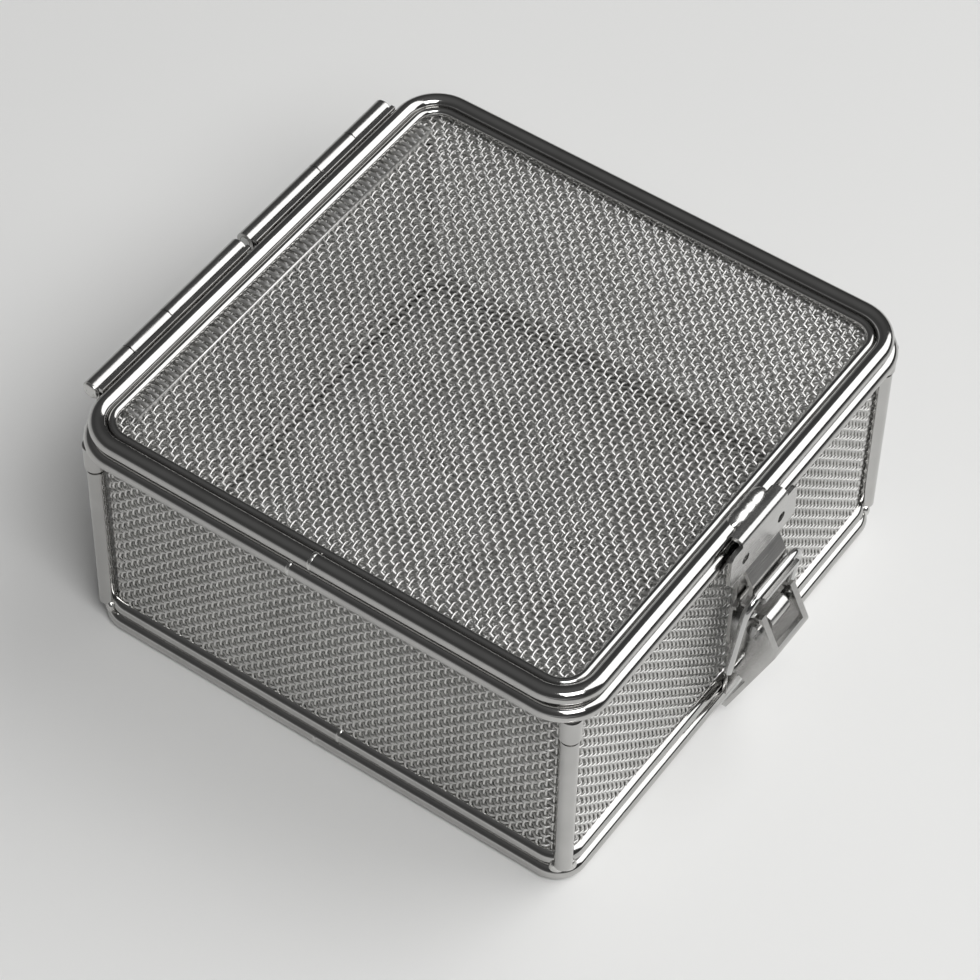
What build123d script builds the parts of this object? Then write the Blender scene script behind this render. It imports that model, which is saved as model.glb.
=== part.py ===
"""Sterilization basket: a square basket of woven steel net on round rods, with a hinged net lid
and a toggle latch.

Millimetres, +Z up. The origin is the middle of the base on the surface it stands on.
+Y points to the hinges, -Y to the latch, and X runs along the hinge pins.
"""
from build123d import *
import os
from math import degrees, sqrt

# Overall size, over the rods
WIDTH = 160.0
DEPTH = 160.0
HEIGHT = 80.0

# Round rods of the frames
ROD_R = 2.5
BODY_RING_CORNER = 11.0
LOWER_RING_CORNER = 8.0
LOWER_RING_STEP = 2.5
LID_RING_STEP = 1.1
LID_CLEARANCE = 0.3
FOOT_FLAT = 0.1
POST_SADDLE = 1.3
POST_FOOT_LAP = 1.8

# Woven net, drawn coarser than the real weave: wide gaps between bars
NET_THICKNESS = 1.6
NET_BAR = 2.0
NET_PITCH = 15.0
NET_TOP_LAP = 1.0
LID_NET_DROP = 1.25
BEND_GAP_ANGLE = 62.0

# Wire that holds the lid's net, and the net's folded hem at the hinge side
LID_WIRE_R = 1.25
HEM_WIDTH = 5.0
HEM_SIDE_GAP = 1.0

# Gap left at a welded seam
SEAM = 0.05

# Hinges
HINGE_LENGTH = 63.0
HINGE_GAP = 2.4
BARREL_R = 2.7
HINGE_PIN_R = 1.5
HINGE_SHEET = 1.2
HINGE_TOP_DROP = 0.3
HINGE_LEAF_DROP = 16.0
HINGE_CORNER = 2.0
KNUCKLE_GAP = 0.3
LEAF_CLEARANCE = 0.4
NEAR_KNUCKLE_SHARE = 0.5
LID_KNUCKLE_SHARE = 0.25

# Running clearance of a pin or wire end in its hole
RUN = 0.05

# Catch plate on the lid
LATCH_SHEET = 1.2
CATCH_STANDOFF = 2.0
CATCH_TOP_DROP = 0.2
CATCH_WIDTH = 31.0
CATCH_WING_FOOT = 14.0
CATCH_WING_HEAD = 2.4
CATCH_WING_CORNER = 2.0
CATCH_FLANGE_WIDTH = 21.0
TONGUE_WIDTH = 16.0
CATCH_HOLE_R = 1.6
CATCH_HOLE_SPACING = 16.7
CATCH_HOLE_DROP = 8.6
CATCH_BEND = 1.2
HOOK_REACH = 4.8
HOOK_DROP = 21.4
HOOK_RISE = 2.4
HOOK_LIP = 0.8
WELD_R = 2.0
WELD_CROWN = 1.1
WELD_LOBES = 3
WELD_PITCH = 6.6
WELD_LAP = 0.6

# Bail: the wire loop that pulls the catch plate down
BAIL_R = 1.2
BAIL_WIDTH = 25.0
BAIL_SHOULDER = 4.5
BAIL_ELBOW = 2.4
BAIL_SEAT_GAP = 0.3
BAIL_END = 0.8

# Lever and its pivot, measured from the bail's seat in the hook
PIVOT_OUT = 0.7
PIVOT_DROP = 13.6
PIVOT_PIN_R = 1.5
PIN_HEAD_R = 2.3
PIN_HEAD = 0.8
BAIL_PIVOT_IN = 3.8
BAIL_PIVOT_DROP = 30.6
LEVER_WIDTH = 16.0
LEVER_TIP_WIDTH = 14.8
LEVER_TIP_CORNER = 2.5
LEVER_BEND = 1.4
LEVER_TOP_OUT = 0.7
LEVER_TOP_RISE = 5.2
LIP_OUT = 6.1
LIP_DROP = 6.2
TAB_BACK = 14.0
TAB_DROP = 34.0
WINDOW_WIDTH = 12.0
WINDOW_FOOT = 1.6
CHEEK_PIVOT_R = 3.4
CHEEK_BAIL_R = 3.0
CHEEK_FOOT_SHARE = 0.5

# Bracket that carries the lever, and the strip that it is welded to
BRACKET_WIDTH = 13.0
BRACKET_DROP = 13.0
BRACKET_BEND = 1.6
CURL_WIDTH = 8.6
CURL_ANGLE = 265.0
STRIP_WIDTH = 5.0
STRIP_THICKNESS = 1.5

# Places worked out from the sizes
HALF_X = WIDTH / 2
HALF_Y = DEPTH / 2
DIAGONAL_SHARE = 1 - 1 / sqrt(2)
BODY_INSET = ROD_R
LID_INSET = BODY_INSET + LID_RING_STEP
LOWER_INSET = BODY_INSET + LOWER_RING_STEP
LID_RING_Z = HEIGHT - ROD_R
BODY_RING_Z = LID_RING_Z - sqrt((2 * ROD_R + LID_CLEARANCE) ** 2 - LID_RING_STEP ** 2)
LOWER_RING_Z = ROD_R - FOOT_FLAT
UPPER_RING_Z = LOWER_RING_Z + 2 * ROD_R + SEAM

NET_OUT_INSET = 2 * ROD_R + SEAM
UPPER_INSET = NET_OUT_INSET + NET_THICKNESS / 2
POST_CLEAR = (2 * ROD_R + SEAM) / sqrt(2)
UPPER_RING_CORNER = BODY_RING_CORNER + (POST_CLEAR - (UPPER_INSET - BODY_INSET)) / DIAGONAL_SHARE
BEND_OUT_R = BODY_RING_CORNER - ROD_R - SEAM
BEND_IN_R = BEND_OUT_R - NET_THICKNESS
BEND_X = HALF_X - BODY_INSET - BODY_RING_CORNER
BEND_Y = HALF_Y - BODY_INSET - BODY_RING_CORNER
SIDE_NET_FOOT = UPPER_RING_Z + ROD_R + SEAM
SIDE_NET_HEAD = BODY_RING_Z + NET_TOP_LAP
SIDE_NET_HEIGHT = SIDE_NET_HEAD - SIDE_NET_FOOT
LID_WIRE_INSET = LID_INSET + ROD_R + SEAM + LID_WIRE_R
LID_WIRE_Z = LID_RING_Z - LID_NET_DROP + SEAM + LID_WIRE_R

PIN_Y = HALF_Y + SEAM + BARREL_R
PIN_Z = HEIGHT - HINGE_TOP_DROP - BARREL_R

CATCH_OUT = HALF_Y + CATCH_STANDOFF
HOOK_OUT = CATCH_OUT + HOOK_REACH
HOOK_Z = HEIGHT - HOOK_DROP
HOOK_R = BAIL_R + BAIL_SEAT_GAP + LATCH_SHEET / 2
PIVOT_OUT_Q = HOOK_OUT + PIVOT_OUT
PIVOT_Z = HOOK_Z - PIVOT_DROP
BAIL_PIVOT_OUT = HOOK_OUT - BAIL_PIVOT_IN
BAIL_PIVOT_Z = HOOK_Z - BAIL_PIVOT_DROP
LIP_POINT = (PIVOT_OUT_Q + LIP_OUT, PIVOT_Z - LIP_DROP)
TIP_POINT = (LIP_POINT[0] - TAB_BACK, LIP_POINT[1] - TAB_DROP)
STRIP_IN = HALF_Y - UPPER_INSET + ROD_R + SEAM
STRIP_OUT = STRIP_IN + STRIP_THICKNESS
CURL_R = PIVOT_PIN_R + RUN + LATCH_SHEET / 2

# Side view of the latch: first number outwards from the middle, second number up
LATCH_SIDE = Plane(origin=(0, 0, 0), x_dir=(0, -1, 0), z_dir=(-1, 0, 0))
LATCH_FRONT = Plane(origin=(0, -HALF_Y, 0), x_dir=(1, 0, 0), z_dir=(0, -1, 0))


def block(low, high):
    """A square-edged solid between two corners."""
    size = [high[i] - low[i] for i in range(3)]
    middle = [(high[i] + low[i]) / 2 for i in range(3)]
    return Pos(*middle) * Box(*size)


def bent_rod(line, radius):
    """A round rod along a line of straights and arcs: a bar for each straight, an elbow for each arc."""
    pieces = []
    for edge in line.edges():
        section = Plane(origin=edge @ 0, z_dir=edge % 0) * Circle(radius)
        if edge.geom_type == GeomType.LINE:
            pieces.append(extrude(section, edge.length))
        else:
            arm = edge @ 0 - edge.arc_center
            turn = Axis(edge.arc_center, arm.cross(edge % 0))
            pieces.append(revolve(section, turn, degrees(edge.length / edge.radius)))
    return Part() + pieces


def rod_frame(inset, corner, height, radius):
    """Round rod bent to a closed square, its middle line set in from the outside."""
    outline = RectangleRounded(WIDTH - 2 * inset, DEPTH - 2 * inset, corner)
    return bent_rod(Pos(0, 0, height) * outline, radius)


def flank(height, ring_height, radius):
    """How far a round rod reaches sideways from its middle line at a height."""
    return sqrt(radius ** 2 - (height - ring_height) ** 2)


def flat_net(length, height, corner=0.0):
    """A holed sheet in the XY plane, centred, that stands for the woven net."""
    columns = max(1, round(length / NET_PITCH))
    rows = max(1, round(height / NET_PITCH))
    step_x = (length - NET_BAR) / columns
    step_y = (height - NET_BAR) / rows
    gap = Rectangle(step_x - NET_BAR, step_y - NET_BAR)
    gaps = Sketch() + GridLocations(step_x, step_y, columns, rows) * gap
    if corner:
        sheet = RectangleRounded(length, height, corner)
        gaps = gaps & RectangleRounded(length - 2 * NET_BAR, height - 2 * NET_BAR, corner - NET_BAR)
    else:
        sheet = Rectangle(length, height)
    return extrude(sheet - gaps, NET_THICKNESS)


def net_bend():
    """The side net where it turns a corner: a quarter bend about the Z axis, in the +X+Y quarter."""
    strip = Cylinder(BEND_OUT_R, SIDE_NET_HEIGHT) - Cylinder(BEND_IN_R, SIDE_NET_HEIGHT)
    quarter = Pos(BEND_OUT_R / 2, BEND_OUT_R / 2, 0) * Box(BEND_OUT_R, BEND_OUT_R, SIDE_NET_HEIGHT)
    rows = max(1, round(SIDE_NET_HEIGHT / NET_PITCH))
    step = (SIDE_NET_HEIGHT - NET_BAR) / rows
    wedge = Cylinder(BEND_OUT_R * 2, step - NET_BAR, arc_size=BEND_GAP_ANGLE,
                     align=(Align.NONE, Align.NONE, Align.CENTER))
    wedge = Rot(0, 0, (90 - BEND_GAP_ANGLE) / 2) * wedge
    gaps = [Pos(0, 0, (row - (rows - 1) / 2) * step) * wedge for row in range(rows)]
    return (strip & quarter) - gaps


def side_net(length):
    """A side net standing on its lower edge, its outer face in the XZ plane looking to -Y."""
    stand = Plane(origin=(0, NET_THICKNESS, SIDE_NET_FOOT + SIDE_NET_HEIGHT / 2), x_dir=(1, 0, 0),
                  z_dir=(0, -1, 0))
    return stand * flat_net(length, SIDE_NET_HEIGHT)


def corner_post():
    """Upright rod in the +X+Y corner, saddled under the body ring and on the lower base ring."""
    reach = BODY_RING_CORNER / sqrt(2)
    foot = LOWER_RING_Z + ROD_R - POST_FOOT_LAP
    head = BODY_RING_Z - POST_SADDLE
    rod = Pos(BEND_X + reach, BEND_Y + reach, (foot + head) / 2) * Cylinder(ROD_R, head - foot)
    upper = rod_frame(BODY_INSET, BODY_RING_CORNER, BODY_RING_Z, ROD_R + SEAM)
    lower = rod_frame(LOWER_INSET, LOWER_RING_CORNER, LOWER_RING_Z, ROD_R + SEAM)
    return rod - upper - lower


def lid_net():
    """The lid's net, held against the inner flank of the lid ring."""
    head = LID_RING_Z - LID_NET_DROP
    edge = LID_INSET + flank(head, LID_RING_Z, ROD_R) + SEAM
    corner = BODY_RING_CORNER - (edge - LID_INSET)
    net = flat_net(WIDTH - 2 * edge, DEPTH - 2 * edge, corner)
    return Pos(0, 0, head - NET_THICKNESS) * net


def bottom_net():
    """The bottom net, on the lower base ring and inside the upper one."""
    foot = LOWER_RING_Z + ROD_R + SEAM
    head = foot + NET_THICKNESS
    edge = UPPER_INSET + flank(head, UPPER_RING_Z, ROD_R) + SEAM
    corner = UPPER_RING_CORNER - (edge - UPPER_INSET)
    return Pos(0, 0, foot) * flat_net(WIDTH - 2 * edge, DEPTH - 2 * edge, corner)


def lid_wire():
    """Thin wire on top of the lid's net, along the inside of the ring."""
    corner = BODY_RING_CORNER - (LID_WIRE_INSET - LID_INSET)
    return rod_frame(LID_WIRE_INSET, corner, LID_WIRE_Z, LID_WIRE_R)


def net_hem():
    """Folded edge of the lid's net, flat on the net beside the wire at the hinge side."""
    foot = LID_RING_Z - LID_NET_DROP + SEAM
    outer = HALF_Y - LID_WIRE_INSET - LID_WIRE_R - SEAM
    side = HALF_X - LID_WIRE_INSET - LID_WIRE_R - BODY_RING_CORNER / 2 - HEM_SIDE_GAP
    return block((-side, outer - HEM_WIDTH, foot), (side, outer, foot + NET_THICKNESS))


def pin_bar(x_low, x_high, radius):
    """A round bar about the hinge pins' line."""
    return Pos((x_low + x_high) / 2, PIN_Y, PIN_Z) * Rot(0, 90, 0) * Cylinder(radius, x_high - x_low)


def knuckle_spans():
    """Where the three knuckles of the +X hinge begin and end along X: body, body and lid."""
    start = HINGE_GAP / 2
    lid_start = start + NEAR_KNUCKLE_SHARE * HINGE_LENGTH
    lid_end = lid_start + LID_KNUCKLE_SHARE * HINGE_LENGTH
    half_gap = KNUCKLE_GAP / 2
    near_body = (start, lid_start - half_gap)
    far_body = (lid_end + half_gap, start + HINGE_LENGTH)
    lid = (lid_start + half_gap, lid_end - half_gap)
    return near_body, far_body, lid


def body_leaf():
    """The +X hinge's leaf on the body ring: an upright plate with two knuckles."""
    near_body, far_body, lid = knuckle_spans()
    inner = PIN_Y - BARREL_R
    outer = inner + HINGE_SHEET
    foot = PIN_Z - HINGE_LEAF_DROP
    leaf = block((near_body[0], inner, foot), (far_body[1], outer, PIN_Z))
    feet = leaf.edges().filter_by(Axis.Y).group_by(Axis.Z)[0]
    leaf = fillet(feet, HINGE_CORNER)
    notch_foot = PIN_Z - BARREL_R - LEAF_CLEARANCE
    notch = block((near_body[1], inner - SEAM, notch_foot), (far_body[0], outer + BARREL_R, PIN_Z))
    knuckles = [pin_bar(span[0], span[1], BARREL_R) for span in (near_body, far_body)]
    bore = pin_bar(near_body[0] - SEAM, far_body[1] + SEAM, HINGE_PIN_R + RUN)
    return (leaf - notch) + knuckles - bore


def lid_leaf():
    """The +X hinge's leaf on the lid ring: a level strip with one knuckle."""
    near_body, far_body, lid = knuckle_spans()
    head = PIN_Z + BARREL_R
    foot = head - HINGE_SHEET
    ring_side = HALF_Y - LID_INSET + flank(foot, LID_RING_Z, ROD_R) + SEAM
    edge = PIN_Y - sqrt((BARREL_R + LEAF_CLEARANCE) ** 2 - (BARREL_R - HINGE_SHEET) ** 2)
    strip = block((near_body[0], ring_side, foot), (far_body[1], edge, head))
    bridge = block((lid[0], ring_side, foot), (lid[1], PIN_Y, head))
    bore = pin_bar(lid[0] - SEAM, lid[1] + SEAM, HINGE_PIN_R + RUN)
    return strip + bridge + pin_bar(lid[0], lid[1], BARREL_R) - bore


def hinge_pin():
    """The +X hinge's pin."""
    near_body, far_body, lid = knuckle_spans()
    return pin_bar(near_body[0], far_body[1], HINGE_PIN_R)


def bent_sheet(line, width):
    """Latch sheet bent along a line of the side view."""
    path = Wire((LATCH_SIDE * line).edges())
    section = Plane(origin=path @ 0, x_dir=(1, 0, 0), z_dir=path % 0) * Rectangle(width, LATCH_SHEET)
    return sweep(section, path=path)


def front_cut(outline):
    """An outline of the front view, made deep enough to trim a latch piece."""
    return extrude(LATCH_FRONT * outline, HALF_Y, both=True)


def side_pin(out, height, radius, length):
    """A round bar across the latch."""
    return Pos(0, -out, height) * Rot(0, 90, 0) * Cylinder(radius, length)


def catch_plate():
    """Lid half of the latch: flange, upright plate with wings, and tongue with an upturned hook."""
    half = LATCH_SHEET / 2
    flange_z = HEIGHT - CATCH_TOP_DROP - half
    ring_side = HALF_Y - LID_INSET + flank(flange_z - half, LID_RING_Z, ROD_R) + SEAM
    wing_foot = HEIGHT - CATCH_WING_FOOT
    channel = HOOK_OUT - HOOK_R
    line = FilletPolyline((ring_side, flange_z), (CATCH_OUT, flange_z), (CATCH_OUT, wing_foot),
                          (channel, HOOK_Z + HOOK_RISE), (channel, HOOK_Z), radius=CATCH_BEND)
    line += CenterArc((HOOK_OUT, HOOK_Z), HOOK_R, 180, 180)
    line += Line((HOOK_OUT + HOOK_R, HOOK_Z), (HOOK_OUT + HOOK_R, HOOK_Z + HOOK_LIP))
    wing_head = HEIGHT - CATCH_WING_HEAD
    wings = RectangleRounded(CATCH_WIDTH, wing_head - wing_foot, CATCH_WING_CORNER)
    wings = Pos(0, (wing_head + wing_foot) / 2) * wings
    flange = Pos(0, wing_head) * Rectangle(CATCH_FLANGE_WIDTH, 2 * CATCH_WING_HEAD)
    tongue_foot = HOOK_Z - HOOK_R - LATCH_SHEET
    tongue = Pos(0, (wing_head + tongue_foot) / 2) * Rectangle(TONGUE_WIDTH, wing_head - tongue_foot)
    plate = bent_sheet(line, CATCH_WIDTH) & front_cut(wings + flange + tongue)
    holes = [Pos(side * CATCH_HOLE_SPACING / 2, HEIGHT - CATCH_HOLE_DROP) * Circle(CATCH_HOLE_R)
             for side in (-1, 1)]
    return plate - front_cut(Sketch() + holes)


def catch_weld():
    """Weld between the catch plate's flange and the lid ring: three lobes that run into each other."""
    flange_top = HEIGHT - CATCH_TOP_DROP + SEAM
    centre_z = flange_top + WELD_CROWN - WELD_R
    centre_out = HALF_Y - LID_INSET + flank(flange_top, LID_RING_Z, ROD_R) + SEAM
    length = WELD_PITCH + WELD_LAP - 2 * WELD_R
    lobe = Rot(0, 90, 0) * Cylinder(WELD_R, length)
    lobe += [Pos(side * length / 2, 0, 0) * Sphere(WELD_R) for side in (-1, 1)]
    lobes = [Pos((place - (WELD_LOBES - 1) / 2) * WELD_PITCH, -centre_out, centre_z) * lobe
             for place in range(WELD_LOBES)]
    ring = rod_frame(LID_INSET, BODY_RING_CORNER, LID_RING_Z, ROD_R + SEAM)
    below = block((-CATCH_WIDTH, -CATCH_OUT - HOOK_REACH, LID_RING_Z - ROD_R),
                  (CATCH_WIDTH, -HALF_Y + LID_INSET, flange_top))
    return (Part() + lobes) - ring - below


def bail():
    """Wire loop: cross bar in the hook, two legs, and ends turned in to the lever's cheeks."""
    foot = Vector(0, -BAIL_PIVOT_OUT, BAIL_PIVOT_Z)
    head = Vector(0, -HOOK_OUT, HOOK_Z)
    side = Vector(BAIL_WIDTH / 2, 0, 0)
    end = Vector(LEVER_WIDTH / 2 - LATCH_SHEET - BAIL_END, 0, 0)
    path = FilletPolyline(foot - end, foot - side, head - side, head + side, foot + side, foot + end,
                          radius=[BAIL_ELBOW, BAIL_SHOULDER, BAIL_SHOULDER, BAIL_ELBOW])
    return bent_rod(path, BAIL_R)


def lever():
    """Pressed lever: forked plate over the pivot, outer lip, finger tab and two side cheeks."""
    top = (PIVOT_OUT_Q + LEVER_TOP_OUT, PIVOT_Z + LEVER_TOP_RISE)
    sheet = bent_sheet(FilletPolyline(top, LIP_POINT, TIP_POINT, radius=LEVER_BEND), LEVER_WIDTH)
    half = LEVER_WIDTH / 2
    tip_half = LEVER_TIP_WIDTH / 2
    head = PIVOT_Z + 2 * LEVER_TOP_RISE
    tip = TIP_POINT[1]
    outline = Polygon((-half, head), (-half, LIP_POINT[1]), (-tip_half, tip), (tip_half, tip),
                      (half, LIP_POINT[1]), (half, head), align=None)
    outline = fillet(outline.vertices().group_by(Axis.Y)[0], LEVER_TIP_CORNER)
    sheet = sheet & front_cut(outline)
    window_foot = LIP_POINT[1] + WINDOW_FOOT
    window = block((-WINDOW_WIDTH / 2, -LIP_POINT[0] - LATCH_SHEET, window_foot),
                   (WINDOW_WIDTH / 2, -PIVOT_OUT_Q + CHEEK_PIVOT_R, head))
    sheet = sheet - window
    foot = (LIP_POINT[0] - CHEEK_FOOT_SHARE * TAB_BACK, LIP_POINT[1] - CHEEK_FOOT_SHARE * TAB_DROP)
    web = make_hull((Pos(PIVOT_OUT_Q, PIVOT_Z) * Circle(CHEEK_PIVOT_R)).edges()
                    + (Pos(BAIL_PIVOT_OUT, BAIL_PIVOT_Z) * Circle(CHEEK_BAIL_R)).edges()
                    + Polyline(LIP_POINT, foot).edges())
    cheeks = []
    for side in (-1, 1):
        inner = Pos(side * (half - LATCH_SHEET / 2), 0, 0)
        cheeks.append(inner * extrude(LATCH_SIDE * web, LATCH_SHEET / 2, both=True))
    pivot_hole = side_pin(PIVOT_OUT_Q, PIVOT_Z, PIVOT_PIN_R + RUN, 2 * LEVER_WIDTH)
    bail_hole = side_pin(BAIL_PIVOT_OUT, BAIL_PIVOT_Z, BAIL_R + RUN, 2 * LEVER_WIDTH)
    return sheet + cheeks - pivot_hole - bail_hole


def lever_pin():
    """Rivet that the lever turns on, headed outside both cheeks."""
    shank = side_pin(PIVOT_OUT_Q, PIVOT_Z, PIVOT_PIN_R, LEVER_WIDTH + 2 * PIN_HEAD)
    head = side_pin(PIVOT_OUT_Q, PIVOT_Z, PIN_HEAD_R, PIN_HEAD)
    offset = (LEVER_WIDTH + PIN_HEAD) / 2 + SEAM
    return shank + [Pos(side * offset, 0, 0) * head for side in (-1, 1)]


def bracket():
    """Base of the latch: a plate on the strip, an arm to the front, and a curl round the pin."""
    plate_out = STRIP_OUT + SEAM + LATCH_SHEET / 2
    arm_z = PIVOT_Z + CURL_R
    line = FilletPolyline((plate_out, PIVOT_Z - BRACKET_DROP), (plate_out, arm_z), (PIVOT_OUT_Q, arm_z),
                          radius=BRACKET_BEND)
    line += CenterArc((PIVOT_OUT_Q, PIVOT_Z), CURL_R, 90, -CURL_ANGLE)
    sheet = bent_sheet(line, BRACKET_WIDTH)
    arm_in = plate_out + BRACKET_BEND
    reach = PIVOT_OUT_Q + 2 * CURL_R
    for side in (-1, 1):
        edges = sorted((side * CURL_WIDTH / 2, side * BRACKET_WIDTH))
        sheet -= block((edges[0], -reach, PIVOT_Z - 2 * CURL_R), (edges[1], -arm_in, PIVOT_Z + 2 * CURL_R))
    return sheet


def latch_strip():
    """Flat bar from the body ring's underside, over the upper base ring, to the lower base ring."""
    foot_in = STRIP_IN - (HALF_Y - LOWER_INSET)
    foot = LOWER_RING_Z + sqrt(ROD_R ** 2 - foot_in ** 2) + SEAM
    head = BODY_RING_Z - ROD_R - SEAM
    half = STRIP_WIDTH / 2
    return block((-half, -STRIP_OUT, foot), (half, -STRIP_IN, head))


def lower_ring():
    """Lower base ring, with a narrow worn flat along its underside."""
    ring = rod_frame(LOWER_INSET, LOWER_RING_CORNER, LOWER_RING_Z, ROD_R)
    return ring - block((-WIDTH, -DEPTH, -ROD_R), (WIDTH, DEPTH, 0))


def make_parts():
    """Every piece of the basket under its name."""
    parts = {}
    parts["body_ring"] = rod_frame(BODY_INSET, BODY_RING_CORNER, BODY_RING_Z, ROD_R)
    parts["base_upper_ring"] = rod_frame(UPPER_INSET, UPPER_RING_CORNER, UPPER_RING_Z, ROD_R)
    parts["base_lower_ring"] = lower_ring()
    parts["bottom_net"] = bottom_net()
    front_net = Pos(0, -HALF_Y + NET_OUT_INSET, 0) * side_net(2 * BEND_X)
    parts["net_front"] = front_net
    parts["net_back"] = mirror(front_net, about=Plane.XZ)
    right_net = Rot(0, 0, 90) * side_net(2 * BEND_Y)
    parts["net_right"] = Pos(HALF_X - NET_OUT_INSET, 0, 0) * right_net
    parts["net_left"] = mirror(parts["net_right"], about=Plane.YZ)
    bend = Pos(BEND_X, BEND_Y, SIDE_NET_FOOT + SIDE_NET_HEIGHT / 2) * net_bend()
    post = corner_post()
    for piece, shape in (("net_bend", bend), ("corner_post", post)):
        parts[piece + "_back_right"] = shape
        parts[piece + "_back_left"] = mirror(shape, about=Plane.YZ)
        parts[piece + "_front_right"] = mirror(shape, about=Plane.XZ)
        parts[piece + "_front_left"] = Rot(0, 0, 180) * shape
    parts["lid_ring"] = rod_frame(LID_INSET, BODY_RING_CORNER, LID_RING_Z, ROD_R)
    parts["lid_net"] = lid_net()
    parts["lid_inner_wire"] = lid_wire()
    parts["lid_net_hem"] = net_hem()
    for piece, shape in (("body_hinge_leaf", body_leaf()), ("lid_hinge_leaf", lid_leaf()),
                         ("hinge_pin", hinge_pin())):
        parts[piece + "_right"] = shape
        parts[piece + "_left"] = mirror(shape, about=Plane.YZ)
    parts["catch_plate"] = catch_plate()
    parts["catch_weld"] = catch_weld()
    parts["latch_strip"] = latch_strip()
    parts["latch_bracket"] = bracket()
    parts["latch_lever"] = lever()
    parts["lever_pin"] = lever_pin()
    parts["latch_bail"] = bail()
    return parts


os.makedirs("parts", exist_ok=True)
for name, shape in make_parts().items():
    export_step(shape, f"parts/{name}.step")
    print(name, round(shape.volume, 1), "mm3")
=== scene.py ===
# %% [markdown]
# # A sterilization basket in woven steel
#
# This lesson dresses a small instrument basket. Its frame of round steel rods carries walls of
# woven wire net. The lid is a net in a rod ring, with two hinges behind and a toggle latch in front.
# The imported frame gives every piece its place, so nothing here is fitted by eye: each new piece
# reads the box of the piece that it stands for.

# %% Load the frame
from math import copysign, cos, floor, pi, radians, sin, sqrt

import bmesh
import bpy
from mathutils import Matrix, Vector


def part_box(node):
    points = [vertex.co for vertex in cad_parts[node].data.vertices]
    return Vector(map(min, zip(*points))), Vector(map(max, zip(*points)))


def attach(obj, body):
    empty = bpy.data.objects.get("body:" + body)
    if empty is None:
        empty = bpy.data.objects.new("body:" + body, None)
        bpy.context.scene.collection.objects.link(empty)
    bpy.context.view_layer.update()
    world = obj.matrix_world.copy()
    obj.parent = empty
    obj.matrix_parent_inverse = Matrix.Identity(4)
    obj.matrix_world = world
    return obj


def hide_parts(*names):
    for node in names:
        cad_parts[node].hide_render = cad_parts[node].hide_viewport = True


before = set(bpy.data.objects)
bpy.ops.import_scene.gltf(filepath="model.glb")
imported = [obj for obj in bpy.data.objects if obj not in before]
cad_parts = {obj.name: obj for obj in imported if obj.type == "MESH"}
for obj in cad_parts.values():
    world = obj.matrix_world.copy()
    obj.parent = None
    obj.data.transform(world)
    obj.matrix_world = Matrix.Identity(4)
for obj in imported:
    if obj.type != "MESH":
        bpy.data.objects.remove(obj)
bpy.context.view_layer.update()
scene = bpy.context.scene

# %% [markdown]
# ## Sizes
#
# One metre is one unit, so a millimetre gets a name of its own. The frame says where the rods and
# the nets are: a ring's box is as high as its rod is thick, and the rod's middle line lies half of
# that inside the box. Only what a box can't say, such as the corner bends and the weave, is
# written here as a number.

# %% Sizes
MM = 0.001
ROD_R = (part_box("lid_ring")[1].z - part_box("lid_ring")[0].z) / 2
LID_WIRE_R = (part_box("lid_inner_wire")[1].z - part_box("lid_inner_wire")[0].z) / 2
TOP_CORNER = 11.0 * MM
BASE_CORNER = 6.5 * MM
LID_WIRE_CORNER = 7.2 * MM
WIRE_R = 0.4 * MM
WEAVE_PITCH = 2.07 * MM
print("rod radius", round(ROD_R / MM, 2), "mm, lid wire radius", round(LID_WIRE_R / MM, 2), "mm")

# %% [markdown]
# ## Steel
#
# Everything on the basket is the same stainless steel, but it is drawn, pressed, woven and welded,
# and each of these leaves its own skin. One function mixes them all: a metal whose colour and
# roughness drift a little from place to place, and a fine bump. The bump's grain can be stretched
# along one axis, which gives the straight lines of rolled sheet. The patterns read Object
# coordinates, so they lie still on the steel from every side.

# %% A steel skin
NOISE_LOW, NOISE_HIGH = 0.3, 0.7
GLOSS_DRIFT = 0.25
RELIEF_DEPTH = 0.1 * MM


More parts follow.
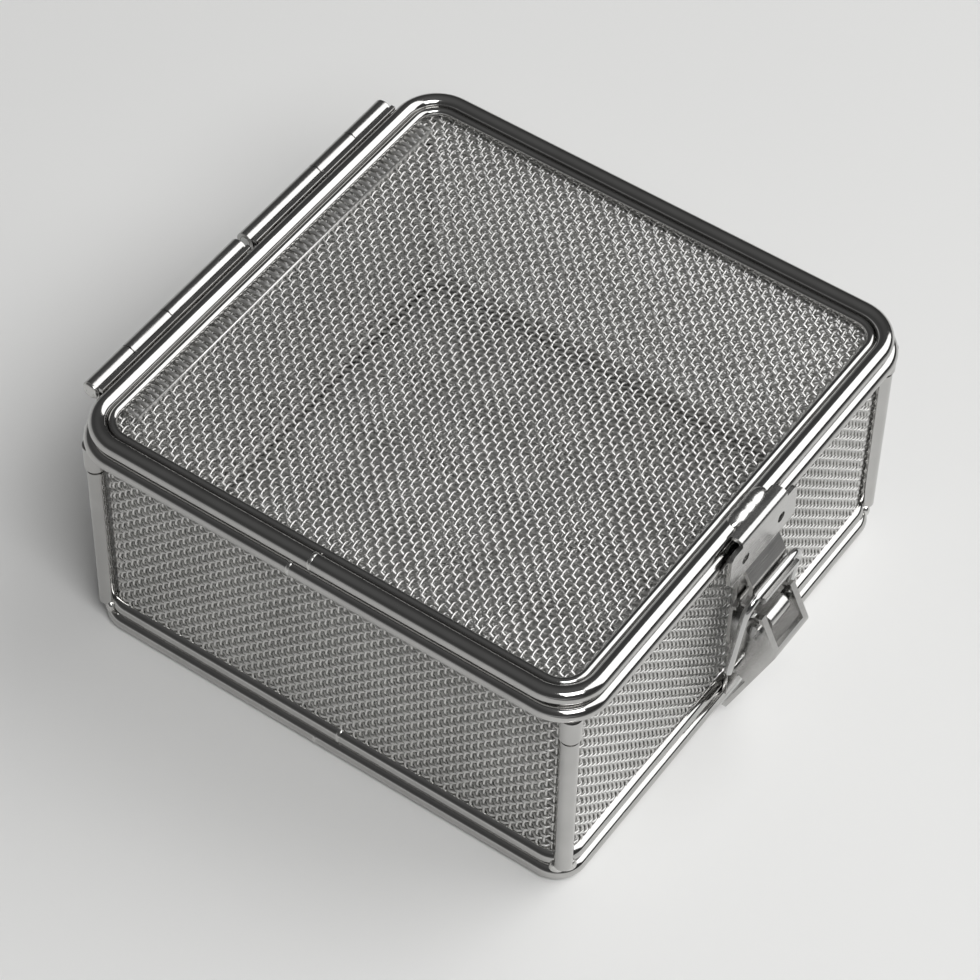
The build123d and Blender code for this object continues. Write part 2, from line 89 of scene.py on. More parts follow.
def steel(name, colour, roughness, grain, stretch=(1, 1, 1), bump=0.02, drift=0.06, clouds=90.0):
    """Stainless steel: its colour, mean roughness, and the scale and stretch of its grain."""
    material = bpy.data.materials.new(name)
    material.use_nodes = True
    nodes, links = material.node_tree.nodes, material.node_tree.links
    shader = nodes["Principled BSDF"]
    shader.inputs["Metallic"].default_value = 1.0
    place = nodes.new("ShaderNodeTexCoord")
    turn = nodes.new("ShaderNodeMapping")
    turn.inputs["Scale"].default_value = stretch
    links.new(place.outputs["Object"], turn.inputs["Vector"])
    wide = nodes.new("ShaderNodeTexNoise")
    wide.inputs["Scale"].default_value = clouds
    wide.inputs["Detail"].default_value = 4.0
    links.new(place.outputs["Object"], wide.inputs["Vector"])
    fine = nodes.new("ShaderNodeTexNoise")
    fine.inputs["Scale"].default_value = grain
    fine.inputs["Detail"].default_value = 3.0
    links.new(turn.outputs["Vector"], fine.inputs["Vector"])
    tone = nodes.new("ShaderNodeValToRGB")
    tone.color_ramp.elements[0].position = NOISE_LOW
    tone.color_ramp.elements[1].position = NOISE_HIGH
    tone.color_ramp.elements[0].color = (*[part * (1 - drift) for part in colour], 1)
    tone.color_ramp.elements[1].color = (*[part * (1 + drift) for part in colour], 1)
    links.new(wide.outputs["Fac"], tone.inputs["Fac"])
    links.new(tone.outputs["Color"], shader.inputs["Base Color"])
    gloss = nodes.new("ShaderNodeMapRange")
    gloss.inputs["From Min"].default_value = NOISE_LOW
    gloss.inputs["From Max"].default_value = NOISE_HIGH
    gloss.inputs["To Min"].default_value = roughness * (1 - GLOSS_DRIFT)
    gloss.inputs["To Max"].default_value = roughness * (1 + GLOSS_DRIFT)
    links.new(fine.outputs["Fac"], gloss.inputs["Value"])
    links.new(gloss.outputs["Result"], shader.inputs["Roughness"])
    relief = nodes.new("ShaderNodeBump")
    relief.inputs["Strength"].default_value = bump
    relief.inputs["Distance"].default_value = RELIEF_DEPTH
    links.new(fine.outputs["Fac"], relief.inputs["Height"])
    links.new(relief.outputs["Normal"], shader.inputs["Normal"])
    return material


STEELS = {
    "rod_steel": steel("drawn_rod", (0.49, 0.485, 0.475), 0.10, 2600.0, bump=0.02),
    "net_steel": steel("woven_wire", (0.69, 0.685, 0.67), 0.42, 3000.0, bump=0.03, clouds=40.0),
    "sheet_steel": steel("pressed_sheet", (0.50, 0.495, 0.485), 0.22, 900.0, stretch=(0.12, 1, 4), bump=0.05),
    "pin_steel": steel("smooth_wire", (0.51, 0.51, 0.505), 0.11, 2600.0),
    "weld_steel": steel("weld_bead", (0.62, 0.615, 0.60), 0.24, 900.0, bump=0.2),
}
print("steels:", list(STEELS))

# %% [markdown]
# ## From a mesh to a piece
#
# A finished piece keeps its object at the origin, with its place in its mesh. It rides on the body
# that carries it, names the slot of its finish, and may stand for pieces of the frame.
#
# Faces have to point outwards. The operator for that makes the faces of a shell agree, but on a long
# thin wire it can choose the wrong side. The volume inside a shell tells which side is right: it
# comes out under zero where the faces point inwards, and those shells are turned.

# %% Point every shell outwards
def unique(items):
    """The items in their own order, each one once. A set would mix the order from run to run."""
    return list(dict.fromkeys(items))


def shells_of(bm):
    """The closed shells of a mesh, each a list of faces that hang together."""
    shells, seen = [], set()
    for start in bm.faces:
        if start in seen:
            continue
        seen.add(start)
        shell = [start]
        for face in shell:  # the list grows while it is walked
            beside = unique(other for edge in face.edges for other in edge.link_faces if other not in seen)
            seen.update(beside)
            shell += beside
        shells.append(shell)
    return shells


def six_volumes(shell):
    """Six times the volume inside a shell, under zero where its faces point inwards."""
    base = shell[0].verts[0].co
    total = 0.0
    for face in shell:
        first, *others = [vert.co - base for vert in face.verts]
        total += sum(first.dot(left.cross(right)) for left, right in zip(others, others[1:]))
    return total


def point_outwards(bm):
    """Make the faces of each shell agree and point away from its inside."""
    bmesh.ops.recalc_face_normals(bm, faces=bm.faces)
    inward = [face for shell in shells_of(bm) if six_volumes(shell) < 0 for face in shell]
    bmesh.ops.reverse_faces(bm, faces=inward)


# %% Finish a piece
def add_piece(name, bm, body, slot, replaces=()):
    """Make an object of a bmesh, ride it on its body and dress it in the steel of its slot."""
    point_outwards(bm)
    for face in bm.faces:
        face.smooth = True
    mesh = bpy.data.meshes.new(name)
    bm.to_mesh(mesh)
    bm.free()
    mesh.materials.append(STEELS[slot])
    piece = bpy.data.objects.new(name, mesh)
    scene.collection.objects.link(piece)
    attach(piece, body)
    if replaces:
        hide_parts(*replaces)
    print(name, len(mesh.polygons), "faces")
    return piece


def verts_of(result):
    """The vertices in an operator's result."""
    return [item for item in result if isinstance(item, bmesh.types.BMVert)]


def edges_of(result):
    """The edges in an operator's result."""
    return [item for item in result if isinstance(item, bmesh.types.BMEdge)]


def push(bm, edges, step):
    """Extrude a loop of edges along a step and return the new loop."""
    grown = bmesh.ops.extrude_edge_only(bm, edges=edges)["geom"]
    bmesh.ops.translate(bm, verts=verts_of(grown), vec=step)
    return edges_of(grown)


def swing(bm, edges, centre, axis, angle, steps):
    """Spin a loop of edges about an axis and return the new loop."""
    verts = unique(vert for edge in edges for vert in edge.verts)
    turned = bmesh.ops.spin(bm, geom=verts + edges, cent=centre, axis=axis, angle=angle, steps=steps)
    return edges_of(turned["geom_last"])


def circle_at(bm, radius, sides, place, turn):
    """A circle of edges at a place, turned by a matrix out of the level plane."""
    stand = Matrix.Translation(place) @ turn
    verts = bmesh.ops.create_circle(bm, radius=radius, segments=sides, matrix=stand)["verts"]
    return unique(edge for vert in verts for edge in vert.link_edges)


MIRROR_MERGE = 0.01 * MM


def mirror_all(bm, axis):
    """Mirror the whole mesh across the middle and close the seam."""
    geometry = bm.verts[:] + bm.edges[:] + bm.faces[:]
    bmesh.ops.mirror(bm, geom=geometry, merge_dist=MIRROR_MERGE, axis=axis)


# %% [markdown]
# ## Rod rings
#
# A ring is one rod, bent at four corners and welded into a loop. A circle is drawn in the middle
# of a side, pushed along the straight, spun round the corner and pushed to the middle of the next
# side. Two mirrors then make the other three corners. A curve with a bevel would be quicker, but
# the spin gives even, square faces all the way round.

# %% Bend rods into rings
ROD_SIDES = 32
CORNER_STEPS = 14


def rod_ring(node, corner, radius):
    """A round rod bent along the middle line of one of the frame's rings."""
    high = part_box(node)[1]
    reach_x, reach_y, level = high.x - radius, high.y - radius, high.z - radius
    bm = bmesh.new()
    loop = circle_at(bm, radius, ROD_SIDES, (reach_x, 0, level), Matrix.Rotation(radians(90), 4, "X"))
    loop = push(bm, loop, (0, reach_y - corner, 0))
    bend_centre = (reach_x - corner, reach_y - corner, level)
    loop = swing(bm, loop, bend_centre, (0, 0, 1), radians(90), CORNER_STEPS)
    push(bm, loop, (corner - reach_x, 0, 0))
    mirror_all(bm, "X")
    mirror_all(bm, "Y")
    for vert in bm.verts:
        vert.co.z = max(vert.co.z, 0)
    return bm


RINGS = {
    "body_ring": ("basket", TOP_CORNER, ROD_R),
    "base_upper_ring": ("basket", BASE_CORNER, ROD_R),
    "base_lower_ring": ("basket", BASE_CORNER, ROD_R),
    "lid_ring": ("lid", TOP_CORNER, ROD_R),
    "lid_inner_wire": ("lid", LID_WIRE_CORNER, LID_WIRE_R),
}
for node, (body, corner, radius) in RINGS.items():
    add_piece(node + "_rod", rod_ring(node, corner, radius), body, "rod_steel", [node])

# %% [markdown]
# ## Corner posts
#
# Four upright rods carry the top rings on the base rings. Under the body ring each rod wears a
# short collar, which ends in a thin dark groove. One circle grows upwards: it is pushed from level
# to level and scaled to the radius that the post has there.

# %% Grow the posts
COLLAR_R = 3.0 * MM
GROOVE_R = 1.5 * MM
COLLAR_LENGTH = 9.5 * MM
GROOVE_HEIGHT = 1.3 * MM
POST_SIDES = 32
POST_FOOT = (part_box("base_upper_ring")[0].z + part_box("base_upper_ring")[1].z) / 2


def post_rod(node):
    """A corner post from the base rings up to the body ring, with its collar."""
    low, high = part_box(node)
    middle = (low + high) / 2
    collar = high.z - COLLAR_LENGTH
    levels = [(collar, ROD_R), (collar, GROOVE_R), (collar + GROOVE_HEIGHT, GROOVE_R),
              (collar + GROOVE_HEIGHT, COLLAR_R), (high.z, COLLAR_R)]
    bm = bmesh.new()
    loop = circle_at(bm, ROD_R, POST_SIDES, (middle.x, middle.y, POST_FOOT), Matrix())
    level, radius = POST_FOOT, ROD_R
    for next_level, next_radius in levels:
        loop = push(bm, loop, (0, 0, next_level - level))
        ring = unique(vert for edge in loop for vert in edge.verts)
        share = next_radius / radius
        about = Matrix.Translation((-middle.x, -middle.y, 0))
        bmesh.ops.scale(bm, vec=(share, share, 1), space=about, verts=ring)
        level, radius = next_level, next_radius
    close_ends(bm)
    return bm


def close_ends(bm):
    """Cap the open ends of a rod or of wires."""
    bmesh.ops.holes_fill(bm, edges=[edge for edge in bm.edges if edge.is_boundary], sides=0)


POST_PLACES = ("back_left", "back_right", "front_left", "front_right")
for place in POST_PLACES:
    node = "corner_post_" + place
    post = add_piece(node + "_rod", post_rod(node), "basket", "rod_steel", [node])
    post.modifiers.new("crisp_collar", "EDGE_SPLIT").split_angle = radians(40)

# %% [markdown]
# ## Weld beads
#
# The rods and the sheet are welded by hand, and the beads are the brightest spots on the basket. A
# bead is a row of like lumps that run into each other. Each lump is a small ball, squeezed along
# the seam's three directions and set down on it.

# %% A lump and a bead
def lump(bm, place, half_sizes, turn=0.0):
    """A squeezed ball, turned about the upright line."""
    shape = Matrix.Translation(place) @ Matrix.Rotation(turn, 4, "Z") @ Matrix.Diagonal((*half_sizes, 1))
    bmesh.ops.create_icosphere(bm, subdivisions=3, radius=1.0, matrix=shape)


def bead(bm, place, half_sizes, count, pitch, turn=0.0):
    """Lumps in a row."""
    along = Matrix.Rotation(turn, 3, "Z") @ Vector((1, 0, 0))
    for index in range(count):
        lump(bm, Vector(place) + along * (index - (count - 1) / 2) * pitch, half_sizes, turn)


# %% The bead over the catch plate
CATCH_BEAD = (5.2 * MM, 2.5 * MM, 2.1 * MM)
CATCH_LUMPS, CATCH_LUMP_PITCH = 3, 3.3 * MM
CATCH_BEAD_INWARD = 0.5 * MM
catch_low, catch_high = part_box("catch_weld")
bm = bmesh.new()
bead_place = (0, (catch_low.y + catch_high.y) / 2 + CATCH_BEAD_INWARD, catch_high.z - CATCH_BEAD[2])
bead(bm, bead_place, CATCH_BEAD, CATCH_LUMPS, CATCH_LUMP_PITCH)
add_piece("catch_weld_bead", bm, "lid", "weld_steel", ["catch_weld"])

# %% The beads at the posts' feet
FOOT_BEAD = (2.6 * MM, 1.5 * MM, 2.3 * MM)
FOOT_LUMPS, FOOT_LUMP_PITCH = 2, 2.2 * MM
FOOT_BEAD_INSET = 0.2 * MM
FOOT_BEAD_DROP = 1.2 * MM
bm = bmesh.new()
for place in POST_PLACES:
    low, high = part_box("corner_post_" + place)
    middle = (low + high) / 2
    diagonal = pi / 4 if middle.x * middle.y < 0 else -pi / 4
    spot = (middle.x - copysign(FOOT_BEAD_INSET, middle.x),
            middle.y - copysign(FOOT_BEAD_INSET, middle.y), POST_FOOT - FOOT_BEAD_DROP)
    bead(bm, spot, FOOT_BEAD, FOOT_LUMPS, FOOT_LUMP_PITCH, diagonal)
add_piece("post_foot_beads", bm, "basket", "weld_steel")

# %% The beads that hold the hinge pins, at the outer ends of the barrels
HINGE_BEAD = (0.9 * MM, 2.5 * MM, 2.5 * MM)
bm = bmesh.new()
for side in ("left", "right"):
    pin_low, pin_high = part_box("hinge_pin_" + side)
    barrel_end = max(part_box("body_hinge_leaf_" + side), key=lambda corner: abs(corner.x)).x
    lump(bm, (barrel_end, (pin_low.y + pin_high.y) / 2, (pin_low.z + pin_high.z) / 2), HINGE_BEAD)
add_piece("hinge_end_beads", bm, "basket", "weld_steel")

# %% The swellings where each ring's rod was closed into a loop
KNOT_SWELL = 0.14 * MM
KNOT_HALF_LENGTH = 1.8 * MM
BASKET_KNOTS = {"body_ring": 8 * MM, "base_upper_ring": -4 * MM, "base_lower_ring": 3 * MM}
LID_KNOTS = {"lid_ring": 2 * MM}


def knots(places):
    """A swelling round the rod of each ring, at a place along its -X side."""
    bm = bmesh.new()
    for node, offset in places.items():
        low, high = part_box(node)
        level, thick = high.z - ROD_R, ROD_R + KNOT_SWELL
        lump(bm, (low.x + ROD_R, offset, level), (thick, KNOT_HALF_LENGTH, min(thick, level)))
    return bm


add_piece("ring_knots", knots(BASKET_KNOTS), "basket", "weld_steel")
add_piece("lid_ring_knot", knots(LID_KNOTS), "lid", "weld_steel")

# %% [markdown]
# ## Woven net, flat
#
# Wire cloth is woven like linen: each wire goes over one neighbour and under the next. All wires
# of one direction are grown together, as on a loom. Circles at one edge are pushed from crossing
# to crossing, and then every ring of vertices is lifted or lowered, by whether it lies over or
# under. Two rings a crossing give the flat crowns that a pressed crimp has. The wires are left
# long, and planes cut them to the rounded outline of the frame.

# %% Weave flat wires
WIRE_SIDES = 6
CROWN = 0.25
CUT_ANGLES = (15, 30, 45, 60, 75)


def stations(count, pitch, end):
    """Where the wires' rings of vertices lie: two at each crossing, and one at each end."""
    places = [-end]
    for index in range(-count, count + 1):
        places += [(index - CROWN) * pitch, (index + CROWN) * pitch]
    return places + [end]


def straight_wires(lines, places, sides, radius=WIRE_R):
    """Parallel straight wires along X, one on each line, with a ring of vertices at each place."""
    bm = bmesh.new()
    turn = Matrix.Rotation(radians(90), 4, "Y")
    loops = []
    for line in lines:
        loops += circle_at(bm, radius, sides, (places[0], line, 0), turn)
    for here, there in zip(places, places[1:]):
        loops = push(bm, loops, (there - here, 0, 0))
    return bm


def crimp(bm, pitch_x, pitch_y, side):
    """Lift the rings of vertices over their crossings, or lower them under."""
    for vert in bm.verts:
        crossing = round(vert.co.x / pitch_x) + round(vert.co.y / pitch_y)
        vert.co.z += side * WIRE_R * (1 - 2 * (crossing % 2))


def trim_corners(bm, half_x, half_y, corner):
    """Cut wires along planes that touch the rounded corners of an outline."""
    inner_x, inner_y = half_x - corner, half_y - corner
    for side_x in (-1, 1):
        for side_y in (-1, 1):
            for angle in CUT_ANGLES:
                outward = Vector((side_x * cos(radians(angle)), side_y * sin(radians(angle)), 0))
                centre = Vector((side_x * inner_x, side_y * inner_y, 0))
                near = [vert for vert in bm.verts
                        if vert.co.x * side_x > inner_x - WEAVE_PITCH
                        and vert.co.y * side_y > inner_y - WEAVE_PITCH]
                edges = unique(edge for vert in near for edge in vert.link_edges)
                faces = unique(face for vert in near for face in vert.link_faces)
                around = unique(vert for face in faces for vert in face.verts)
                bmesh.ops.bisect_plane(bm, geom=around + edges + faces, clear_outer=True,
                                       plane_co=centre + outward * corner, plane_no=outward)


def flat_weave(node, corner):
    """The two directions of wires of a flat net, in the place of a node of the frame."""
    low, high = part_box(node)
    half_x, half_y = (high.x - low.x) / 2, (high.y - low.y) / 2
    count_x = floor((half_x - WIRE_R) / WEAVE_PITCH)
    count_y = floor((half_y - WIRE_R) / WEAVE_PITCH)
    lines_x = [index * WEAVE_PITCH for index in range(-count_x, count_x + 1)]
    lines_y = [index * WEAVE_PITCH for index in range(-count_y, count_y + 1)]
    along_x = straight_wires(lines_y, stations(count_x, WEAVE_PITCH, half_x), WIRE_SIDES)
    along_y = straight_wires(lines_x, stations(count_y, WEAVE_PITCH, half_y), WIRE_SIDES)
    bmesh.ops.rotate(along_y, verts=along_y.verts, matrix=Matrix.Rotation(radians(90), 3, "Z"))
    for bm, side in ((along_x, 1), (along_y, -1)):
        crimp(bm, WEAVE_PITCH, WEAVE_PITCH, side)
        if corner:
            trim_corners(bm, half_x, half_y, corner)
        close_ends(bm)
        bmesh.ops.translate(bm, verts=bm.verts, vec=(low + high) / 2)
    return along_x, along_y


NET_EDGE_CORNER = TOP_CORNER - 2.2 * MM
for node, body in (("lid_net", "lid"), ("bottom_net", "basket")):
    along_x, along_y = flat_weave(node, NET_EDGE_CORNER)
    add_piece(node + "_wires_x", along_x, body, "net_steel", [node])
    add_piece(node + "_wires_y", along_y, body, "net_steel", [node])

# %% [markdown]
# ## The folded edge of the lid's net
#
# At the hinge side the lid's net is folded back on itself, which keeps its cut wires away from
# fingers. The cross wires arch over the fold, one beside the other, and the last long wire holds
# them down along the inner edge. The arches are grown straight and then lifted by half a wave.

# %% Arch the wires of the folded edge
HEM_STEPS = 10
HEM_WIRE_R = 0.58 * MM
HEM_WIRE_SIDES = 10
EDGE_WIRE_R = 0.5 * MM
hem_low, hem_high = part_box("lid_net_hem")
HEM_RISE = hem_high.z - hem_low.z - 2 * HEM_WIRE_R
hem_half_x, hem_half_y = (hem_high.x - hem_low.x) / 2, (hem_high.y - hem_low.y) / 2
hem_count = floor((hem_half_x - WIRE_R) / WEAVE_PITCH)
hem_lines = [index * WEAVE_PITCH for index in range(-hem_count, hem_count + 1)]
hem_places = [hem_half_y * (2 * step / HEM_STEPS - 1) for step in range(HEM_STEPS + 1)]
hem_arches = straight_wires(hem_lines, hem_places, HEM_WIRE_SIDES, HEM_WIRE_R)
bmesh.ops.rotate(hem_arches, verts=hem_arches.verts, matrix=Matrix.Rotation(radians(90), 3, "Z"))
for vert in hem_arches.verts:
    vert.co.z += HEM_RISE * cos(vert.co.y / hem_half_y * pi / 2)
close_ends(hem_arches)
hem_middle = (hem_low + hem_high) / 2
bmesh.ops.translate(hem_arches, verts=hem_arches.verts, vec=(hem_middle.x, hem_middle.y, hem_low.z + HEM_WIRE_R))
add_piece("lid_net_hem_arches", hem_arches, "lid", "net_steel", ["lid_net_hem"])

hem_edge = bmesh.new()
edge_start = (hem_low.x, hem_low.y + EDGE_WIRE_R, hem_low.z + WIRE_R + EDGE_WIRE_R)
loop = circle_at(hem_edge, EDGE_WIRE_R, 12, edge_start, Matrix.Rotation(radians(90), 4, "Y"))
push(hem_edge, loop, (hem_high.x - hem_low.x, 0, 0))
close_ends(hem_edge)
add_piece("lid_net_hem_edge_wire", hem_edge, "lid", "net_steel", ["lid_net_hem"])

# %% [markdown]
# ## Woven net, bent round the sides
#
# The four walls are one strip of cloth that goes round all corners. It is woven flat, as a maker
# would, and then every vertex is sent to its place on the bent strip. The number of wires round
# the basket has to be even, or the weave wouldn't close, so the pitch is stretched a hair.

# %% Weave the side strip and bend it
WALL_WIRE_SIDES = 5
WIRE_MERGE = 0.02 * MM
front_low, front_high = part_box("net_front")
right_low, right_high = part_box("net_right")
WALL_FLAT_X, WALL_FLAT_Y = front_high.x, right_high.y
WALL_CORNER = (right_low.x + right_high.x) / 2 - WALL_FLAT_X
WALL_MIDDLE = (front_low.z + front_high.z) / 2
WALL_HALF = (front_high.z - front_low.z) / 2
BEND_LENGTH = WALL_CORNER * pi / 2
WALL_LENGTH = 4 * (WALL_FLAT_X + WALL_FLAT_Y + BEND_LENGTH)
UPRIGHTS = 2 * round(WALL_LENGTH / WEAVE_PITCH / 2)
WALL_PITCH = WALL_LENGTH / UPRIGHTS
ROWS = floor((WALL_HALF - WIRE_R) / WEAVE_PITCH)


def bent(place, out, level):
    """Where a point of the flat strip lies once the strip is bent round the basket."""
    place = place % WALL_LENGTH
    for side in range(4):
        turn = Matrix.Rotation(radians(90 * side), 3, "Z")
        across, along = (WALL_FLAT_X, WALL_FLAT_Y) if side % 2 == 0 else (WALL_FLAT_Y, WALL_FLAT_X)
        if place <= 2 * along:
            return turn @ Vector((across + WALL_CORNER + out, place - along, level))
        place -= 2 * along
        if place <= BEND_LENGTH:
            angle = place / WALL_CORNER
            reach = WALL_CORNER + out
            return turn @ Vector((across + reach * cos(angle), along + reach * sin(angle), level))
        place -= BEND_LENGTH
    return Vector((WALL_FLAT_X + WALL_CORNER + out, -WALL_FLAT_Y, level))


def bend_strip(bm):
    """Bend the flat strip: X goes round the basket, Z stands out from it and Y goes up."""
    for vert in bm.verts:
        vert.co = bent(vert.co.x, vert.co.z, WALL_MIDDLE + vert.co.y)


row_lines = [index * WEAVE_PITCH for index in range(-ROWS, ROWS + 1)]
round_places = [(index + side * CROWN) * WALL_PITCH for index in range(UPRIGHTS) for side in (-1, 1)]
round_places.append((UPRIGHTS - CROWN) * WALL_PITCH)
wall_rounds = straight_wires(row_lines, round_places, WALL_WIRE_SIDES)
crimp(wall_rounds, WALL_PITCH, WEAVE_PITCH, 1)
bend_strip(wall_rounds)
bmesh.ops.remove_doubles(wall_rounds, verts=wall_rounds.verts, dist=WIRE_MERGE)

upright_lines = [-index * WALL_PITCH for index in range(UPRIGHTS)]
wall_uprights = straight_wires(upright_lines, stations(ROWS, WEAVE_PITCH, WALL_HALF), WALL_WIRE_SIDES)
bmesh.ops.rotate(wall_uprights, verts=wall_uprights.verts, matrix=Matrix.Rotation(radians(90), 3, "Z"))
crimp(wall_uprights, WALL_PITCH, WEAVE_PITCH, -1)
close_ends(wall_uprights)
bend_strip(wall_uprights)

wall_nets = ["net_front", "net_back", "net_left", "net_right"]
wall_bends = ["net_bend_" + place for place in ("back_left", "back_right", "front_left", "front_right")]
add_piece("wall_wires_round", wall_rounds, "basket", "net_steel", wall_nets)
add_piece("wall_wires_upright", wall_uprights, "basket", "net_steel", wall_bends)
print("the wall has", UPRIGHTS, "uprights and", 2 * ROWS + 1, "wires round")

# %% [markdown]
# ## Pressed sheet with worn edges
#
# The latch and the hinges are pressed from sheet, and their shape is right in the frame. What the
# frame lacks is the soft edge that every pressed and tumbled part has, and which catches the
# light. A copy of the mesh is welded together, its flat facets are joined, and its sharp edges are
# bevelled.

# %% Soften the edges of a sheet piece
SHARP = radians(30)
FLAT = radians(1)
FACET_MERGE = 0.002 * MM


def softened(node, width, segments=3):
    """A copy of a node of the frame with its sharp edges rounded."""
    bm = bmesh.new()
    bm.from_mesh(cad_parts[node].data)
    bmesh.ops.remove_doubles(bm, verts=bm.verts, dist=FACET_MERGE)
    bmesh.ops.dissolve_limit(bm, angle_limit=FLAT, verts=bm.verts, edges=bm.edges)
    sharp = [edge for edge in bm.edges if edge.is_manifold and edge.calc_face_angle() > SHARP]
    bmesh.ops.bevel(bm, geom=sharp, offset=width, offset_type="OFFSET", segments=segments, profile=0.5,
                    affect="EDGES", material=-1, clamp_overlap=True)
    return bm


# %% [markdown]
# ## The knuckle of the lid's leaf
#
# The lid's leaf runs level over its knuckle in the frame. The sheet of the real hinge follows the
# barrel there, so the leaf is cut along a few lines and its top is lowered onto the barrel. A new
# barrel would need the leaf's end to be cut away first, and the cuts keep the leaf in one piece.

# %% Round the knuckle
BARREL_R = 2.7 * MM
LID_KNUCKLE = (32.85 * MM, 48.35 * MM)
HINGE_SHEET = 1.0 * MM
KNUCKLE_CUTS = (-2.55, -2.1, -1.8, -1.5, -1.2, -0.9, -0.6, -0.3)
KNUCKLE_EDGE = 2.3 * MM
ABOVE_FOOT, FOOT_STEP = 0.2 * MM, 0.05 * MM
pin_low, pin_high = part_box("hinge_pin_right")
PIN_Y, PIN_Z = (pin_low.y + pin_high.y) / 2, (pin_low.z + pin_high.z) / 2


def round_knuckle(bm):
    """Lower the top of a lid leaf's knuckle onto its barrel."""
    for cut in KNUCKLE_CUTS:
        faces = [face for face in bm.faces
                 if LID_KNUCKLE[0] < abs(face.calc_center_median().x) < LID_KNUCKLE[1]]
        verts = unique(vert for face in faces for vert in face.verts)
        edges = unique(edge for face in faces for edge in face.edges)
        bmesh.ops.bisect_plane(bm, geom=verts + edges + faces, plane_co=(0, PIN_Y + cut * MM, 0),
                               plane_no=(0, 1, 0))
    foot = PIN_Z + BARREL_R - HINGE_SHEET
    for vert in bm.verts:
        inward = vert.co.y - PIN_Y
        on_knuckle = LID_KNUCKLE[0] < abs(vert.co.x) < LID_KNUCKLE[1]
        if on_knuckle and -KNUCKLE_EDGE < inward < 0 and vert.co.z > foot + ABOVE_FOOT:
            surface = PIN_Z + sqrt(BARREL_R ** 2 - inward ** 2)
            vert.co.z = min(vert.co.z, max(surface, foot + FOOT_STEP))


# %% Dress the sheet pieces, with the width of each one's soft edge
SHEETS = {
    "catch_plate": ("lid", 0.2 * MM),
    "latch_lever": ("lever", 0.2 * MM),
    "latch_bracket": ("basket", 0.15 * MM),
    "latch_strip": ("basket", 0.25 * MM),
    "body_hinge_leaf_left": ("basket", 0.12 * MM),
    "body_hinge_leaf_right": ("basket", 0.12 * MM),
    "lid_hinge_leaf_left": ("lid", 0.12 * MM),
    "lid_hinge_leaf_right": ("lid", 0.12 * MM),
}
for node, (body, width) in SHEETS.items():
    bm = softened(node, width)
    if node.startswith("lid_hinge_leaf"):
        round_knuckle(bm)
    sheet = add_piece(node + "_sheet", bm, body, "sheet_steel", [node])
    sheet.modifiers.new("even_shading", "WEIGHTED_NORMAL").keep_sharp = True

# %% [markdown]
# ## Pins and bail
#
# The pins and the latch's wire loop are plain round rods, and the frame has them right. They keep
# their shape and only get their steel. A second, like mesh laid over them would win nothing.

# %% Give the kept pieces their steel
KEPT = ["hinge_pin_left", "hinge_pin_right", "lever_pin", "latch_bail"]
for name in KEPT:
    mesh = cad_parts[name].data
    mesh.materials.clear()
    mesh.materials.append(STEELS["pin_steel"])
print("kept as they are:", len(KEPT), "pieces")

# %% [markdown]
# ## Floor, light and camera
#
# The floor is a wide pale sheet. Polished steel shows its surroundings more than its own colour,
# so the light is what draws it. A large soft panel beyond the latch gives the rods that run across
# it a broad bright band. A smaller panel above the camera fills the shadows and shows in no straight
# rod. The room between is dim, and leaves the dark lines beside the bright ones, down to a pale
# horizon that draws a thin line on the other rods.

# %% Floor
FLOOR_REACH = 6.0
FLOOR_ROUGHNESS = 0.6
floor_mesh = bpy.data.meshes.new("floor")
bm = bmesh.new()
bmesh.ops.create_grid(bm, x_segments=1, y_segments=1, size=FLOOR_REACH)
bm.to_mesh(floor_mesh)
bm.free()
floor_piece = bpy.data.objects.new("floor", floor_mesh)
scene.collection.objects.link(floor_piece)
floor_paint = bpy.data.materials.new("floor_paint")
floor_paint.use_nodes = True
floor_shader = floor_paint.node_tree.nodes["Principled BSDF"]
floor_shader.inputs["Roughness"].default_value = FLOOR_ROUGHNESS
floor_mesh.materials.append(floor_paint)

# For glossy rays the floor's colour fades beyond the latch to a painted dark reflection, so the steel shows
# painted dark lines there; the camera sees the floor plain and pale.
PALE_FLOOR = (0.83, 0.83, 0.82, 1)
PAINTED_DARK_REFLECTION = (0.05, 0.05, 0.05, 1)
FADE_START, FADE_END = -0.20, -0.34
floor_nodes, floor_links = floor_paint.node_tree.nodes, floor_paint.node_tree.links
floor_place = floor_nodes.new("ShaderNodeTexCoord")
floor_parts = floor_nodes.new("ShaderNodeSeparateXYZ")
floor_links.new(floor_place.outputs["Object"], floor_parts.inputs["Vector"])
# How far beyond the latch the painted dark reflection fades in.
painted_reflection_fade = floor_nodes.new("ShaderNodeMapRange")
painted_reflection_fade.inputs["From Min"].default_value = FADE_START
painted_reflection_fade.inputs["From Max"].default_value = FADE_END
floor_links.new(floor_parts.outputs["Y"], painted_reflection_fade.inputs["Value"])
# The painted dark reflection is limited to glossy rays: the mask of the painted reflection.
ray = floor_nodes.new("ShaderNodeLightPath")
painted_reflection_mask = floor_nodes.new("ShaderNodeMath")
painted_reflection_mask.operation = "MULTIPLY"
floor_links.new(painted_reflection_fade.outputs["Result"], painted_reflection_mask.inputs[0])
floor_links.new(ray.outputs["Is Glossy Ray"], painted_reflection_mask.inputs[1])
floor_colour = floor_nodes.new("ShaderNodeMix")
floor_colour.data_type = "RGBA"
floor_colour.inputs["A"].default_value = PALE_FLOOR
floor_colour.inputs["B"].default_value = PAINTED_DARK_REFLECTION
floor_links.new(painted_reflection_mask.outputs[0], floor_colour.inputs["Factor"])
floor_links.new(floor_colour.outputs["Result"], floor_shader.inputs["Base Color"])

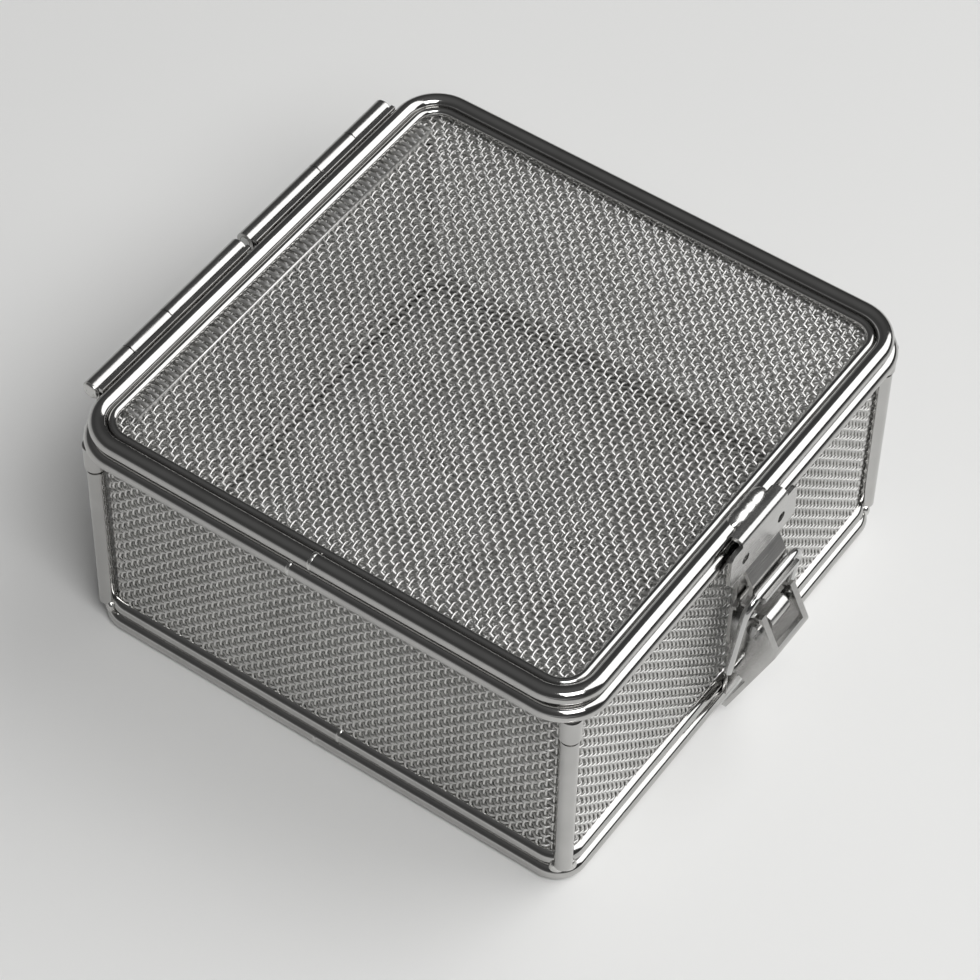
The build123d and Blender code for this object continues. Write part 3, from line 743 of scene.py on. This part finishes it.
# %% Lamps and room
def panel(name, place, size, power):
    """A soft square lamp panel that looks from a place at the middle of the basket's base."""
    lamp = bpy.data.lights.new(name, "AREA")
    lamp.size = size
    lamp.energy = power
    holder = bpy.data.objects.new(name, lamp)
    scene.collection.objects.link(holder)
    holder.location = place
    holder.rotation_euler = (-Vector(place)).to_track_quat("-Z", "Y").to_euler()
    print(name, "of", size, "m,", power, "W")


panel("key_panel", (1.35, -1.2, 1.75), 2.6, 46.0)
panel("fill_panel", (-0.78, -1.3, 2.1), 1.3, 36.0)

# %% [markdown]
# ## The room that the steel reflects
#
# A steel rod shows the room as a few lines along it, so the room is a tone that changes with
# height. It also changes with the side: behind the basket it has a pale horizon, and beyond the
# latch it is dark down to the floor. A picture of a real room would do too, but two ramps of tones
# can be set line by line.

# %% Room

# How bright the room is from the floor up to straight overhead, towards the pale side behind the
# basket and towards the dark side beyond the latch.
PALE_SIDE = ((0.5, 0.55), (0.54, 0.5), (0.60, 0.09), (0.8, 0.07), (1.0, 0.14))
DARK_SIDE = ((0.5, 0.05), (0.54, 0.05), (0.60, 0.06), (0.8, 0.07), (1.0, 0.14))
TOWARDS_PALE = (-0.8, 0.6, 0.0)
room = bpy.data.worlds.new("room")
scene.world = room
room.use_nodes = True
room_nodes, room_links = room.node_tree.nodes, room.node_tree.links
heading = room_nodes.new("ShaderNodeTexCoord")
parts = room_nodes.new("ShaderNodeSeparateXYZ")
rise = room_nodes.new("ShaderNodeMapRange")
rise.inputs["From Min"].default_value = -1.0
room_links.new(heading.outputs["Generated"], parts.inputs["Vector"])
room_links.new(parts.outputs["Z"], rise.inputs["Value"])


def side_tones(stops):
    """The room's tones on one side, by height."""
    ramp = room_nodes.new("ShaderNodeValToRGB")
    while len(ramp.color_ramp.elements) < len(stops):
        ramp.color_ramp.elements.new(0.5)
    for stop, (place, tone) in zip(ramp.color_ramp.elements, stops):
        stop.position = place
        stop.color = (tone, tone, tone, 1)
    room_links.new(rise.outputs["Result"], ramp.inputs["Fac"])
    return ramp


facing = room_nodes.new("ShaderNodeVectorMath")
facing.operation = "DOT_PRODUCT"
facing.inputs[1].default_value = TOWARDS_PALE
room_links.new(heading.outputs["Generated"], facing.inputs[0])
share = room_nodes.new("ShaderNodeMapRange")
share.inputs["From Min"].default_value = -0.35
share.inputs["From Max"].default_value = 0.25
room_links.new(facing.outputs["Value"], share.inputs["Value"])
both_sides = room_nodes.new("ShaderNodeMix")
both_sides.data_type = "RGBA"
room_links.new(share.outputs["Result"], both_sides.inputs["Factor"])
room_links.new(side_tones(DARK_SIDE).outputs["Color"], both_sides.inputs["A"])
room_links.new(side_tones(PALE_SIDE).outputs["Color"], both_sides.inputs["B"])
room_links.new(both_sides.outputs["Result"], room_nodes["Background"].inputs["Color"])
scene.view_settings.view_transform = "Standard"

# %% [markdown]
# ## Camera
#
# The camera looks down at the left corner between the latch and the side, from the angle of the
# photograph. It is turned a little about its line of sight, as a camera held by hand is.

# %% Camera at the photograph's viewing angle
CAMERA_PLACE = Vector((-0.534, -0.357, 0.801))
CAMERA_AIM = Vector((-0.003, -0.001, 0.036))
CAMERA_ROLL = radians(1.474)
CAMERA_LENS = 137.0
CAMERA_SENSOR = 36.0
eye = bpy.data.cameras.new("eye")
eye.lens = CAMERA_LENS
eye.sensor_width = CAMERA_SENSOR
eye.clip_start = 0.01
camera = bpy.data.objects.new("camera", eye)
scene.collection.objects.link(camera)
camera.location = CAMERA_PLACE
look = (CAMERA_AIM - CAMERA_PLACE).to_track_quat("-Z", "Y").to_matrix()
camera.rotation_euler = (look @ Matrix.Rotation(CAMERA_ROLL, 3, "Z")).to_euler()
scene.camera = camera
print("camera at", CAMERA_PLACE[:], "with a lens of", CAMERA_LENS, "mm")
